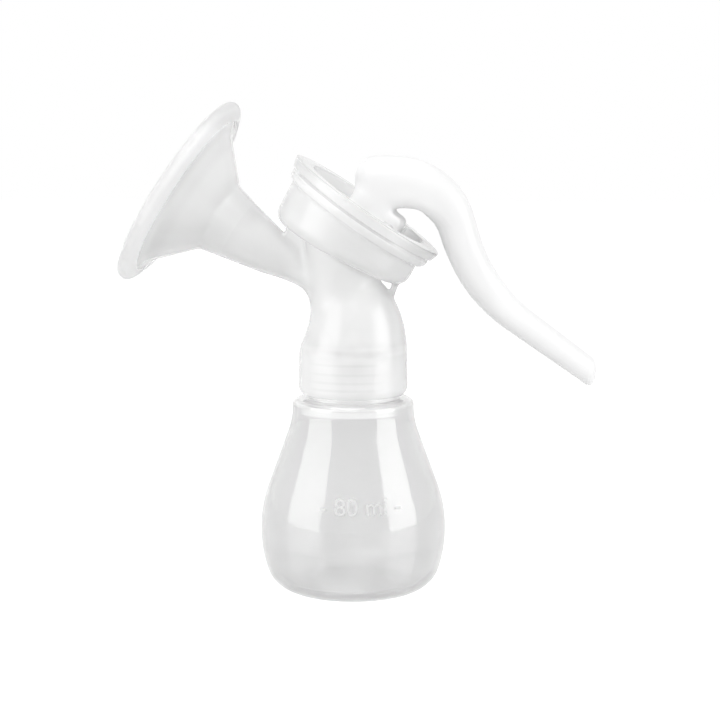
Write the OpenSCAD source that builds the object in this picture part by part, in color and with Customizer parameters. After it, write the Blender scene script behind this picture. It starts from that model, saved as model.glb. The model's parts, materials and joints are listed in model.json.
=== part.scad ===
// Hand-operated breast pump on its milk bottle.
// Origin: middle of the bottle's foot. +Z up, horn towards -X, handle towards +X.

/* [Bottle] */
// Largest outer radius of the belly
belly_r = 34.3; // [31:0.1:38]
// Height of the widest point above the foot
belly_z = 22.5; // [19:0.5:26]
// Radius of the belly's side curve
belly_curve_r = 48; // [42:1:60]
// Radius of the rounded heel at the foot
heel_r = 11; // [8:0.5:14]
// Lean of the straight flank from upright, in degrees
flank_lean = 20; // [17:0.5:23]
// Radius of the hollow curve under the shoulder
waist_curve_r = 26; // [20:1:32]
// Outer radius of the shoulder band
shoulder_r = 22.4; // [21.5:0.1:23.5]
// Height of the straight shoulder band
shoulder_band = 0.6; // [0.2:0.1:3]
// Radius of the shoulder's rounded edge
shoulder_round = 2.5; // [2:0.1:3.5]
// Outer radius of the neck under its thread
neck_r = 17.2; // [16:0.1:18]
// Height of the neck above the shoulder
neck_h = 15; // [12:0.5:18]
// Wall of the bottle
bottle_wall = 1.6; // [1.2:0.1:2]
// Bevel on the neck's mouth
lip_bevel = 0.5; // [0.2:0.1:0.8]

/* [Neck seal] */
// Thickness of the seal washer on the bottle's mouth
seal_t = 1.5; // [1:0.1:2.5]
// Radial play of the washer inside the skirt
seal_play = 0.3; // [0.2:0.05:0.6]

/* [Pump body] */
// Radial room for the thread between neck and skirt
thread_room = 1; // [0.8:0.1:1.4]
// Wall of the screw skirt
skirt_wall = 1.9; // [1.5:0.1:2.5]
// Gap between the skirt's lower edge and the bottle's shoulder
skirt_gap = 1.2; // [0.6:0.1:3]
// Bevel on the skirt's lower edge
skirt_bevel = 1.4; // [0.6:0.1:1.6]
// Wall of the pump body
body_wall = 1.8; // [1.4:0.1:2.2]
// Height of the dome above the bottle's mouth
dome_h = 32; // [29:0.5:35]
// Sideways offset of the dome towards the handle
dome_shift = 1; // [0:0.1:1.5]
// Height of the rounded shoulder where the skirt ends
skirt_dome_h = 18; // [12:0.5:22]
// Outer radius of the throat in the dome
throat_r = 11.4; // [10.5:0.1:12]
// Outer radius of the throat under the bowl
throat_top_r = 14.6; // [13.5:0.1:15.5]
// Sideways offset of the throat towards the horn
throat_shift = 3.5; // [3:0.1:4.5]
// Thickness of the web between the horn's tube and the bowl
web_t = 6; // [4:0.2:8]
// Outer radius of the milk outlet
outlet_r = 5.6; // [5:0.1:6.5]
// Length of the milk outlet below the dividing floor
outlet_l = 8; // [6:0.5:10]
// Radius of the air passages
passage_r = 3; // [2.5:0.1:3.4]

/* [Horn] */
// Angle of the horn above the table, in degrees
horn_rise = 33; // [30:0.5:36]
// Height above the bottle's mouth where the horn's axis meets the bottle's axis
horn_up = 18.9; // [17.5:0.1:20]
// Distance from the bottle's axis to the root of the funnel
horn_root = 59.2; // [56:0.2:64]
// Outer radius of the tube at the funnel's root
tube_r = 13.6; // [13:0.1:15]
// Outer radius of the tube where it meets the throat
bend_tube_r = 5.1; // [4.8:0.1:6]
// Radius of the blend between tube and dome, to its middle line
bend_r = 16.1; // [14:0.1:18]
// Distance from the bottle's axis to the tube's inner end
bend_start = 20.5; // [19:0.5:23]
// Outer radius of the funnel's cone
cone_r = 27.6; // [25:0.2:30]
// Depth of the funnel's cone
cone_l = 13; // [11:0.5:15]
// Outer radius of the funnel's rim
rim_r = 36.6; // [35:0.1:38]
// Depth of the flatter rim
rim_l = 3.4; // [2.6:0.1:4.4]

/* [Funnel liner] */
// Wall of the soft liner
liner_t = 1.4; // [1.1:0.1:1.8]
// Reach of the liner into the tube
liner_reach = 8.2; // [6:0.2:12]
// Wall of the lip behind the rim
lip_wrap_t = 0.9; // [0.7:0.1:1.3]
// Clearance of the soft pieces on what they fit
soft_fit = 0.15; // [0.1:0.05:0.3]

/* [Bowl and cap] */
// Lean of the cap towards the handle, in degrees
cap_lean = 35; // [33:0.5:37]
// Sideways place of the cap's middle
cap_x = 5.6; // [4:0.1:7]
// Height of the cap's middle above the bottle's mouth
cap_up = 56.3; // [55:0.1:58]
// Outer radius of the cap at its top
cap_r = 31.4; // [30.8:0.1:33]
// Height of the cap's outer wall
cap_h = 3.7; // [3:0.1:4.5]
// Draft of the cap's and the flange's outer walls
cap_draft = 0.9; // [0.3:0.1:1.4]
// Width of the cap's flat top
cap_rim = 7.6; // [7:0.1:8.4]
// Wall of the cap's outer ring at its lower edge
cap_wall_t = 1.45; // [1.15:0.05:1.75]
// Thickness of the cap's top
cap_top_t = 1.2; // [1:0.1:1.6]
// Depth of the cap's inner wall
cap_inner_h = 4.4; // [3.6:0.1:4.6]
// Thickness of the cap's inner wall
cap_inner_t = 1.2; // [1:0.1:1.4]
// Gap between the cap and the bowl's flange
cap_gap = 1; // [0.6:0.1:1.3]
// Height of the bowl's flange
flange_h = 2.9; // [2.4:0.1:4]
// Slope of the bowl's floor against the cap, in degrees
floor_slope = 6.5; // [4:0.5:8]
// Step from the cap's edge in to the bowl's side
bowl_step = 4.4; // [3.8:0.1:4.8]
// Depth of the bowl below the flange
bowl_depth = 12.5; // [11.5:0.1:14]
// Rounding of the bowl's lower edge
bowl_round = 4.6; // [3:0.1:6]
// Wall of the bowl
bowl_wall = 1.8; // [1.4:0.1:2.2]
// Thickness of the brace between bowl and dome
brace_t = 3.2; // [2:0.2:5]
// Width of the brace
brace_w = 2.2; // [1.6:0.1:3]

/* [Valve] */
// Wall of the valve
valve_wall = 1.4; // [1:0.1:1.8]
// Length of the valve's flat bill
bill_l = 9; // [7:0.5:12]
// Width of the slit in the bill
bill_slit = 0.4; // [0.2:0.1:0.8]

/* [Diaphragm and stem] */
// Wall of the diaphragm
skin_t = 0.9; // [0.7:0.1:1.1]
// Thickness of the diaphragm's clamped bead
bead_t = 1.4; // [1:0.1:2]
// Depth of the diaphragm's middle below the cap's top
skin_depth = 13; // [12:0.2:14]
// Radius of the diaphragm's flat middle
skin_mid_r = 13.2; // [11:0.2:14]
// Radius of the stem
stem_r = 3; // [2.5:0.1:3.5]
// Radius of the stem's plate on the diaphragm
plate_r = 9.5; // [8:0.5:11]
// Thickness of the stem's plate
plate_t = 1.3; // [1:0.1:2]
// Radius of the barb that holds the diaphragm
barb_r = 4.3; // [4:0.1:5]
// Width of the stem's eye
eye_w = 5; // [4:0.2:7]
// Wall of the stem's eye round its hole
eye_wall = 2.4; // [2:0.1:3]

/* [Handle and pins] */
// Radius of the hinge pin
hinge_pin_r = 1.5; // [1.2:0.1:1.7]
// Half length of the hinge pin
hinge_pin_half = 14; // [13:0.5:16]
// Distance of the hinge from the cap's middle
hinge_u = 12; // [10:0.2:13]
// Depth of the hinge below the cap's top
hinge_drop = 2.6; // [2.3:0.1:3]
// Radius of the link pin
link_pin_r = 1.25; // [1:0.05:1.5]
// Depth of the link pin below the hinge pin
link_drop = 1.9; // [1.5:0.1:2.3]
// Play of the link pin in the stem's eye
link_play = 0.25; // [0.2:0.05:0.4]
// Running clearance of a pin in its hole
pin_fit = 0.05; // [0.02:0.01:0.1]
// Side clearance between the handle and the cap's saddles
cheek_play = 0.4; // [0.3:0.05:0.8]
// Width of the saddles along the cap's lean
saddle_w = 6.4; // [5.4:0.2:8]
// Wall of the saddle under the pin
saddle_wall = 1; // [0.8:0.1:1.2]
// Width of the handle's foot
foot_w = 20; // [18:0.5:22]
// Reach of the handle's foot towards the horn
foot_back = 6.6; // [6:0.2:8]
// Reach of the handle's foot past the hinge pin
foot_front = 3.2; // [2.8:0.1:4]
// Depth of the handle's foot below the cap's top
foot_drop = 6.6; // [6.2:0.1:7.2]
// Height of the handle's heel above the cap's top
foot_rise = 3.2; // [2.4:0.2:4]
// Rounding of the foot's upright edges
foot_round = 4; // [2:0.5:5]
// Wall of the handle
handle_wall = 2.3; // [1.8:0.1:2.6]
// Thickness of the handle at its head
head_t = 21.9; // [19:0.1:23]
// Thickness of the handle past the head's bend
elbow_t = 13.7; // [12:0.1:15]
// Thickness of the handle in the middle of the grip's bend
grip_t = 12.4; // [11:0.1:14]
// Thickness of the handle where the grip's bend ends
tail_t = 9.9; // [8:0.1:11]
// Thickness of the handle at its tip
tip_t = 8.1; // [7:0.1:10]
// Width of the handle at its slimmest
grip_w = 19; // [17:0.5:22]
// Width of the handle near its tip
tip_w = 21; // [18:0.5:24]
// Radius of the head's bend
head_bend_r = 22; // [20:0.5:26]
// Angle of the head's bend, in degrees
head_bend = 78; // [72:1:82]
// Radius of the grip's hollow bend
grip_bend_r = 58; // [50:1:70]
// Angle of the grip's hollow bend, in degrees
grip_bend = 37.5; // [32:0.5:42]
// Straight length behind the grip's bend
grip_tail = 34; // [24:0.5:40]
// Slant of the handle's end face against its path, in degrees
tip_slant = 24; // [0:1:36]
// Thickness of the ribs under the handle
rib_t = 1.4; // [1:0.1:2]
// Number of hollows under the handle
pockets = 5; // [3:1:8]

/* [Hidden] */
$fn = 96;

// Overlap that lets a cut pass clear of a face
cut = 1;

// Steps along an arc in a turned outline
arc_steps = 10;

function arc(c, r, from, to, n = arc_steps) =
    [for (i = [0 : n]) c + r * [cos(from + (to - from) * i / n), sin(from + (to - from) * i / n)]];

function reverse(list) = [for (i = [len(list) - 1 : -1 : 0]) list[i]];

function left_of(a, b) = [a[1] - b[1], b[0] - a[0]] / norm(b - a);

// A run of points moved sideways by d, to the left of its direction
function moved_side(p, d) = [
    for (i = [0 : len(p) - 1])
        let (before = left_of(p[max(i - 1, 0)], p[max(i, 1)]))
        let (after = left_of(p[min(i, len(p) - 2)], p[min(i + 1, len(p) - 1)]))
        p[i] + d * (before + after) / (1 + before * after)
];

// Bottle: a heel arc, a belly arc, a straight flank, a hollow waist and a shoulder
belly_c = [belly_r - belly_curve_r, belly_z];
heel_c = [belly_c[0] + sqrt(pow(belly_curve_r - heel_r, 2) - pow(belly_z - heel_r, 2)), heel_r];
heel_end = atan2(heel_c[1] - belly_c[1], heel_c[0] - belly_c[0]);
flank_top_r = shoulder_r + waist_curve_r * (1 - cos(flank_lean));
flank_run = (belly_c[0] + belly_curve_r * cos(flank_lean) - flank_top_r) / sin(flank_lean);
waist_rise = (belly_curve_r + waist_curve_r) * sin(flank_lean) + flank_run * cos(flank_lean);
waist_c = [shoulder_r + waist_curve_r, belly_z + waist_rise];
shoulder_z = waist_c[1] + shoulder_band + shoulder_round;
shoulder_c = [shoulder_r - shoulder_round, shoulder_z - shoulder_round];
lip_z = shoulder_z + neck_h;
neck_bore = neck_r - bottle_wall;

function bottle_side(inset) = concat(
    arc(heel_c, heel_r - inset, -90, heel_end),
    arc(belly_c, belly_curve_r - inset, heel_end, flank_lean),
    arc(waist_c, waist_curve_r + inset, 180 + flank_lean, 180),
    arc(shoulder_c, shoulder_round - inset, 0, 90)
);

// Pump body's upright parts
skirt_bore = neck_r + thread_room;
skirt_r = skirt_bore + skirt_wall;
skirt_low = shoulder_z + skirt_gap;
seat_z = lip_z + seal_t;
chamber_low = seat_z + body_wall;
dome_r = skirt_r - dome_shift;

// Quarter of an ellipse over the bottle's mouth, from its rim to its top
function dome_side(r, h) = [for (i = [0 : 2 * arc_steps])
    let (a = 90 * i / (2 * arc_steps)) [r * cos(a), lip_z + h * sin(a)]];

function dome_x(z) = dome_shift + dome_r * sqrt(1 - pow((z - lip_z) / dome_h, 2));

// Horn: a tapered tube, a cone and a flatter rim, as radius and distance along its axis
horn_z = lip_z + horn_up;
rim_at = horn_root + cone_l + rim_l;
horn_line = [[bend_tube_r, bend_start], [tube_r, horn_root], [cone_r, horn_root + cone_l], [rim_r, rim_at]];
horn_inside = moved_side(horn_line, body_wall);
roll_r = (lip_wrap_t + body_wall + liner_t) / 2 + soft_fit;
roll_c = moved_side(horn_line, (body_wall + liner_t - lip_wrap_t) / 2)[3];
tube_slope = (tube_r - bend_tube_r) / (horn_root - bend_start);
liner_end = [tube_r - tube_slope * liner_reach, horn_root - liner_reach];
liner_line = [liner_end, horn_line[1], horn_line[2], horn_line[3]];
wrap_start = 0.5;
wrap_line = [horn_line[2] + wrap_start * (horn_line[3] - horn_line[2]), horn_line[3]];
bend_at = [-bend_start * cos(horn_rise), horn_z + bend_start * sin(horn_rise)];
bend_c = bend_at - bend_r * [sin(horn_rise), cos(horn_rise)];
bend_past = 30;
bend_lap = 6;
bend_proud = 0.15;

// Bowl and cap, as depths along the cap's axis below its top
cap_z = lip_z + cap_up;
flange_top = cap_h + cap_gap;
flange_low = flange_top + flange_h;
flange_r = cap_r - cap_draft - cap_gap / 2;
flange_web = 1.2;
collar_top = cap_top_t + bead_t;
cap_wall_r = cap_r - cap_draft - cap_wall_t;
collar_r = cap_wall_r - soft_fit;
cap_open_r = cap_r - cap_rim;
cap_inner_r = cap_open_r + cap_inner_t;
bowl_r = cap_r - bowl_step;
cap_edge = 0.5;
edge_steps = 4;
skin_in_r = cap_inner_r + soft_fit;
bead_r = collar_r - soft_fit;
bore_r = skin_in_r + skin_t + soft_fit;
bowl_shift = 0.2;
bowl_sink = 0.7;
bowl_drop = flange_low + bowl_sink;
bowl_top = 8;

// Points of the middle plane, from the cap's and the bowl's own axes
function cap_point(u, a) = [
    cap_x + u * cos(cap_lean) + a * sin(cap_lean),
    cap_z - u * sin(cap_lean) + a * cos(cap_lean)
];
function bowl_point(u, b) = cap_point(
    u * cos(floor_slope) - b * sin(floor_slope) - bowl_shift,
    u * sin(floor_slope) + b * cos(floor_slope) - bowl_drop
);

// Brace: a short bar from the dome's side to the bowl's low corner
brace_level = 0.74;
brace_proud = 0.44;
brace_in = 3.4;
brace_bed = 0.6;
brace_sink = [3, 1.2];
brace_foot_z = lip_z + brace_level * dome_h;
brace_foot = [dome_x(brace_foot_z) + brace_proud, brace_foot_z];
brace_head = bowl_point(bowl_r - brace_in, brace_bed - bowl_depth);

// Diaphragm and stem
knee_drop = 0.4;
skin_knee = cap_inner_h + knee_drop;
skin_hole_r = stem_r + pin_fit;
skin_line = [
    [skin_in_r, -cap_top_t],
    [skin_in_r, -skin_knee],
    [skin_mid_r, -skin_depth],
    [skin_hole_r, -skin_depth]
];
skin_outside = moved_side(skin_line, skin_t);
barb_h = 1.4;
barb_neck = 0.4;
boss_wall = 1.6;
barb_top = skin_depth + skin_t + barb_neck;
barb_low = barb_top + barb_h;
pocket_r = barb_r + soft_fit;
boss_r = pocket_r + boss_wall;
boss_low = barb_low + soft_fit + skin_t;

// Valve on the milk outlet
sleeve_r = outlet_r + soft_fit + valve_wall;
bill_fn = 32;
valve_play = 0.3;
bill_edge = 0.6;

// Lever: the link pin swings about the hinge pin and lifts the stem
link_u = 0.15;
link_a = -hinge_drop - link_drop;
eye_r = link_pin_r + link_play + eye_wall;
saddle_low = hinge_drop + hinge_pin_r + pin_fit + saddle_wall;
saddle_top = 0.4;
mouth_share = 1.7;
saddle_mouth = mouth_share * hinge_pin_r;
saddle_y = foot_w / 2 + cheek_play;
saddle_end = hinge_pin_half + cheek_play;

// Handle's foot in the cap's frame
foot_front_u = hinge_u + foot_front;
heel_web = 4;
heel_split = hinge_u - heel_web;
head_hollow = 12;
inner_w = foot_w - 2 * handle_wall;
least_round = 0.5;
inner_round = max(foot_round - handle_wall, least_round);

// Handle's side path, as places with a heading, from the head to the tip
head_back = 5.2;
head_up = 6.75;
head_tilt = 5;
head_start = [cap_x - head_back, cap_z + head_up, head_tilt];
head_run = 14.6;
head_nose = 9;
grip_link = 4.35;
tip_nose = 2.6;

function run(p, l) = [p[0] + l * cos(p[2]), p[1] + l * sin(p[2]), p[2]];

function bend(p, r, a) = [
    p[0] + sign(a) * r * (sin(p[2] + a) - sin(p[2])),
    p[1] - sign(a) * r * (cos(p[2] + a) - cos(p[2])),
    p[2] + a
];

head_bend_at = run(head_start, head_run);
head_bend_to = bend(head_bend_at, head_bend_r, -head_bend);
grip_bend_at = run(head_bend_to, grip_link);
grip_bend_to = bend(grip_bend_at, grip_bend_r, grip_bend);
head_bend_l = head_bend_r * head_bend * PI / 180;
grip_bend_l = grip_bend_r * grip_bend * PI / 180;
elbow_s = head_run + head_bend_l;
grip_s = elbow_s + grip_link;
tail_s = grip_s + grip_bend_l;
handle_l = tail_s + grip_tail;

// Turn of the cross-section towards the slanted end face
turn_l = 14;
function tip_turn(s) = tip_slant * max(0, 1 - (handle_l - s) / turn_l);

// Place and heading at a distance along the handle
function handle_at(s) =
    s < head_run ? run(head_start, s) :
    s < elbow_s ? bend(head_bend_at, head_bend_r, -head_bend * (s - head_run) / head_bend_l) :
    s < grip_s ? run(head_bend_to, s - elbow_s) :
    s < tail_s ? bend(grip_bend_at, grip_bend_r, grip_bend * (s - grip_s) / grip_bend_l) :
    run(grip_bend_to, s - tail_s) + [0, 0, tip_turn(s)];

grip_mid_s = (grip_s + tail_s) / 2;
handle_sizes = [[0, head_t], [elbow_s, elbow_t], [grip_mid_s, grip_t], [tail_s, tail_t], [handle_l, tip_t]];
function handle_t(s) = lookup(s, handle_sizes) / cos(tip_turn(s));
function handle_w(s) = lookup(s, [[0, foot_w], [elbow_s, grip_w], [handle_l, tip_w]]);

// Quarter-ellipse rounding of the handle's two ends
function round_end(x) = sqrt(1 - pow(1 - min(x, 1), 2));
function end_scale(s) = round_end(s / head_nose) * round_end((handle_l - s) / tip_nose);

// Cross-section of the handle: full round corners above, and below from the elbow on
head_low_r = 2.2;
low_share = 0.4;
top_share = 0.46;
least_flat = 0.5;
low_steps = 4;
top_steps = 5;
low_sizes = [[head_run, head_low_r], [elbow_s, low_share * elbow_t], [tail_s, low_share * tail_t]];
function low_r(s) = lookup(s, low_sizes);
function top_r(w, t) = min(top_share * t, w / 2 - least_flat);
function handle_half(w, t, low, top) = concat(
    arc([w / 2 - low, low - t / 2], low, -90, 0, low_steps),
    arc([w / 2 - top, t / 2 - top], top, 0, 90, top_steps)
);
function handle_ring(s) = handle_half(handle_w(s), handle_t(s), low_r(s), top_r(handle_w(s), handle_t(s)));

// Cross-section of a hollow under the handle, open below
function pocket_half(w, t, low) = [
    [w / 2 - max(low, handle_wall), -t / 2 - cut],
    [w / 2 - max(low, handle_wall), 0],
    [w / 2 - max(low, top_r(w, t)), t / 2 - handle_wall]
];

// A half outline and its mirror image, set square to the handle's path
function ring_at(half, at, size = 1) = [
    for (p = concat(half, [for (q = reverse(half)) [-q[0], q[1]]]))
        [at[0] - size * p[1] * sin(at[2]), size * p[0], at[1] + size * p[1] * cos(at[2])]
];

// Distances of the handle's rings: close at the ends, even along the bends
nose_steps = [0.06, 0.25, 0.6, 1];
run_rings = 2;
bend_rings = 9;
turn_rings = 4;
pocket_rings = 4;
function steps(from, to, n) = [for (i = [1 : n]) from + (to - from) * i / n];
handle_stops = concat(
    nose_steps * head_nose,
    steps(head_nose, head_run, run_rings),
    steps(head_run, elbow_s, bend_rings),
    steps(elbow_s, tail_s, bend_rings),
    steps(tail_s, handle_l - turn_l, run_rings),
    steps(handle_l - turn_l, handle_l - tip_nose, turn_rings),
    [for (i = [len(nose_steps) - 2 : -1 : 0]) handle_l - nose_steps[i] * tip_nose]
);
pocket_share = 0.45;
pocket_from = head_run + pocket_share * head_bend_l;
pocket_to = handle_l - tip_nose - handle_wall;
pocket_step = (pocket_to - pocket_from + rib_t) / pockets;

// A skin through rings of the same number of points, closed at both ends
module loft(rings) {
    n = len(rings[0]);
    last_at = (len(rings) - 1) * n;
    sides = [for (i = [0 : len(rings) - 2]) for (k = [0 : n - 1])
        let (a = i * n + k, b = i * n + (k + 1) % n)
        each [[a, a + n, b], [b, a + n, b + n]]];
    first = [for (k = [1 : n - 2]) [0, k, k + 1]];
    last = [for (k = [1 : n - 2]) [last_at, last_at + k + 1, last_at + k]];
    polyhedron([for (ring = rings) each ring], concat(first, sides, last));
}

module on_cap() {
    translate([cap_x, 0, cap_z]) rotate([0, cap_lean, 0]) children();
}

module on_bowl() {
    on_cap() translate([-bowl_shift, 0, -bowl_drop]) rotate([0, -floor_slope, 0]) children();
}

module on_horn() {
    translate([0, 0, horn_z]) rotate([0, horn_rise - 90, 0]) children();
}

// A round bar along Y, through a place in the cap's frame
module cross_bar(u, a, r, half) {
    on_cap() translate([u, 0, a]) rotate([90, 0, 0]) cylinder(h = 2 * half, r = r, center = true);
}

// A slab with round upright edges, from one place along X to another
module rounded_slab(from, to, w, h, r) {
    l = to - from;
    translate([(from + to) / 2, 0]) linear_extrude(h) union() {
        square([l - 2 * r, w], center = true);
        square([l, w - 2 * r], center = true);
        for (x = [-1, 1]) for (y = [-1, 1]) translate([x * (l / 2 - r), y * (w / 2 - r)]) circle(r);
    }
}

module bottle() {
    mouth = [
        [neck_r, shoulder_z],
        [neck_r, lip_z - lip_bevel],
        [neck_r - lip_bevel, lip_z],
        [neck_bore, lip_z]
    ];
    outside = concat([[0, 0]], bottle_side(0), mouth);
    inside = concat([[0, bottle_wall]], bottle_side(bottle_wall), [[neck_bore, shoulder_z - bottle_wall]]);
    color("WhiteSmoke") rotate_extrude() polygon(concat(outside, reverse(inside)));
}

module bottle_seal() {
    color("White") translate([0, 0, lip_z]) difference() {
        cylinder(h = seal_t, r = skirt_bore - seal_play);
        translate([0, 0, -cut]) cylinder(h = seal_t + 2 * cut, r = neck_bore);
    }
}

// Screw skirt with its rounded shoulder, closed above by the dividing floor
module skirt() {
    rotate_extrude() polygon(concat(
        [[0, seat_z], [skirt_bore, seat_z], [skirt_bore, skirt_low], [skirt_r - skirt_bevel, skirt_low]],
        [[skirt_r, skirt_low + 2 * skirt_bevel]],
        dome_side(skirt_r, skirt_dome_h)
    ));
}

module dome(inset, low) {
    side = [for (p = dome_side(dome_r - inset, dome_h - inset)) if (p[1] > low) p];
    low_r = (dome_r - inset) * sqrt(1 - pow((low - lip_z) / (dome_h - inset), 2));
    translate([dome_shift, 0, 0]) rotate_extrude() polygon(concat([[0, low], [low_r, low]], side));
}

module throat(inset, low) {
    translate([-throat_shift, 0, low])
        cylinder(h = cap_z - low - bowl_top, r1 = throat_r - inset, r2 = throat_top_r - inset);
}

// Web that closes the wedge between the tube's top and the bowl's floor
module tube_web() {
    rotate([90, 0, 0]) linear_extrude(web_t, center = true) polygon([
        [-throat_shift, horn_z],
        bowl_point(0, bowl_wall - bowl_depth),
        bowl_point(bowl_round - bowl_r, bowl_wall - bowl_depth),
        bend_at + [-bend_start * cos(horn_rise), bend_start * sin(horn_rise)] / 2
    ]);
}

// Blend under the tube, a short bend that turns down into the dome
module tube_blend() {
    translate([bend_c[0], 0, bend_c[1]]) rotate([90, 0, 0]) rotate([0, 0, -bend_past])
        rotate_extrude(angle = 90 - horn_rise + bend_past + bend_lap)
            translate([bend_r, 0]) circle(bend_tube_r + bend_proud);
}

module bowl_form(inset) {
    r = bowl_r - inset;
    low = inset - bowl_depth;
    round = bowl_round - inset;
    on_bowl() rotate_extrude() polygon(concat(
        [[0, bowl_top], [0, low]], arc([r - round, low + round], round, -90, 0), [[r, bowl_top]]
    ));
}

// All that lies above a depth below the cap's top
module above(depth) {
    on_cap() translate([0, 0, -depth]) cylinder(h = 2 * cap_r, r = 2 * cap_r);
}

module brace() {
    along = (brace_head - brace_foot) / norm(brace_head - brace_foot);
    side = [along[1], -along[0]] * brace_w / 2;
    low = brace_foot - brace_sink[0] * along;
    high = brace_head + brace_sink[1] * along;
    rotate([90, 0, 0]) linear_extrude(brace_t, center = true)
        polygon([low - side, low + side, high + side, high - side]);
}

// Flange and collar that carry the diaphragm's bead and the cap
module bowl_rim() {
    on_cap() rotate_extrude() polygon([
        [0, -flange_low],
        [flange_r - cap_draft, -flange_low],
        [flange_r, -flange_top],
        [collar_r, -flange_top],
        [collar_r, -collar_top],
        [0, -collar_top]
    ]);
}

module body_outside() {
    skirt();
    translate([0, 0, seat_z - outlet_l]) cylinder(h = outlet_l + cut, r = outlet_r);
    dome(0, seat_z);
    throat(0, chamber_low);
    tube_blend();
    tube_web();
    on_horn() rotate_extrude() polygon(concat([[0, bend_start]], horn_line, [[0, rim_at]]));
    difference() {
        bowl_form(0);
        above(flange_low - flange_web / 2);
    }
    bowl_rim();
    brace();
}

module body_hollows() {
    translate([0, 0, seat_z - outlet_l - cut])
        cylinder(h = outlet_l + body_wall + 2 * cut, r = outlet_r - body_wall);
    dome(body_wall, chamber_low);
    difference() {
        throat(body_wall, chamber_low);
        on_bowl() translate([0, 0, -bowl_depth]) cylinder(h = 2 * cap_r, r = 2 * cap_r);
    }
    on_horn() cylinder(h = bend_start + cut, r = horn_inside[0][0]);
    horn_floor = [[0, bend_start], [horn_inside[0][0], bend_start]];
    on_horn() rotate_extrude() polygon(concat(horn_floor, horn_inside, [[0, rim_at + 2 * cut]]));
    difference() {
        bowl_form(bowl_wall);
        above(flange_low - flange_web);
    }
    on_cap() translate([0, 0, flange_web - flange_low]) cylinder(h = flange_low, r = bore_r);
    on_bowl() translate([0, 0, -bowl_depth - cut]) cylinder(h = bowl_wall + 2 * cut, r = passage_r);
}

module pump_body() {
    color("Gainsboro", 0.8) difference() {
        body_outside();
        body_hollows();
    }
}

// Soft liner: a skin inside the horn, a rolled lip and a wrap behind the rim
module funnel_liner() {
    back = body_wall + soft_fit;
    color("White") on_horn() rotate_extrude() difference() {
        union() {
            polygon(concat(moved_side(liner_line, back), reverse(moved_side(liner_line, back + liner_t))));
            polygon(concat(moved_side(wrap_line, -soft_fit - lip_wrap_t), reverse(wrap_line)));
            translate(roll_c) circle(roll_r);
        }
        polygon(concat(moved_side(horn_line, -soft_fit), reverse(moved_side(horn_line, back)),
            [moved_side(horn_line, -soft_fit)[0]]));
    }
}

// Valve: a sleeve on the milk outlet and a flat bill that closes to a slit
module duckbill_valve() {
    color("White") translate([0, 0, seat_z - valve_play]) difference() {
        union() {
            translate([0, 0, -outlet_l]) cylinder(h = outlet_l, r = sleeve_r);
            hull() {
                translate([0, 0, -outlet_l]) cylinder(h = valve_wall, r = sleeve_r, $fn = bill_fn);
                translate([0, 0, -outlet_l - bill_l]) linear_extrude(bill_edge)
                    square([2 * sleeve_r, 2 * valve_wall], center = true);
            }
        }
        translate([0, 0, -outlet_l]) cylinder(h = outlet_l + cut, r = outlet_r + soft_fit);
        hull() {
            translate([0, 0, -outlet_l])
                cylinder(h = valve_wall, r = outlet_r - valve_wall / 2, $fn = bill_fn);
            translate([0, 0, -outlet_l - bill_l - cut]) linear_extrude(bill_edge)
                square([2 * outlet_r, bill_slit], center = true);
        }
    }
}

// Soft cup clamped by its bead, with a pocket that grips the stem's barb
module diaphragm() {
    neck = [
        [skin_hole_r, -barb_top],
        [pocket_r, -barb_top],
        [pocket_r, -barb_low - soft_fit],
        [0, -barb_low - soft_fit],
        [0, -boss_low],
        [boss_r, -boss_low],
        [boss_r, skin_outside[3][1]]
    ];
    side = [skin_outside[2], skin_outside[1], [skin_outside[0][0], -collar_top]];
    bead = [[bead_r, -collar_top], [bead_r, -cap_top_t]];
    color("White") on_cap() rotate_extrude() polygon(concat(skin_line, neck, side, bead));
}

// Stem: a barb and a plate on the diaphragm, and an eye for the link pin
module pull_stem() {
    color("White") difference() {
        union() {
            on_cap() rotate_extrude() polygon([
                [0, -barb_low],
                [barb_r - barb_h / 2, -barb_low],
                [barb_r, -barb_top - soft_fit],
                [stem_r, -barb_top - soft_fit],
                [stem_r, -skin_depth],
                [plate_r, -skin_depth],
                [plate_r, plate_t - skin_depth],
                [stem_r, plate_t - skin_depth],
                [stem_r, link_a - eye_r / 2],
                [0, link_a - eye_r / 2]
            ]);
            cross_bar(link_u, link_a, eye_r, eye_w / 2);
        }
        cross_bar(link_u, link_a, link_pin_r + link_play, eye_w);
    }
}

// Cap: an outer wall, a flat top and an inner wall that carries the two saddles
module cap_ring() {
    outside = [[cap_r - cap_draft, -cap_h], [cap_wall_r, -cap_h], [cap_wall_r, -cap_top_t]];
    inside = [[cap_inner_r, -cap_top_t], [cap_inner_r, -cap_inner_h], [cap_open_r, -cap_inner_h]];
    color("Gainsboro", 0.8) {
        on_cap() rotate_extrude() polygon(concat(
            arc([cap_open_r + cap_edge, -cap_edge], cap_edge, 180, 90, edge_steps),
            arc([cap_r - cap_edge, -cap_edge], cap_edge, 90, 0, edge_steps),
            outside,
            inside
        ));
        difference() {
            on_cap() intersection() {
                translate([0, 0, -saddle_low])
                    cylinder(h = saddle_low - saddle_top, r = cap_open_r + cap_inner_t / 2);
                for (side = [-1, 1]) translate([hinge_u, side * (saddle_y + cap_r / 2), 0])
                    cube([saddle_w, cap_r, 2 * saddle_low], center = true);
            }
            cross_bar(hinge_u, -hinge_drop, hinge_pin_r + pin_fit, saddle_end);
            on_cap() translate([hinge_u, 0, 0])
                cube([saddle_mouth, 2 * saddle_end, 2 * hinge_drop], center = true);
        }
    }
}

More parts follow.
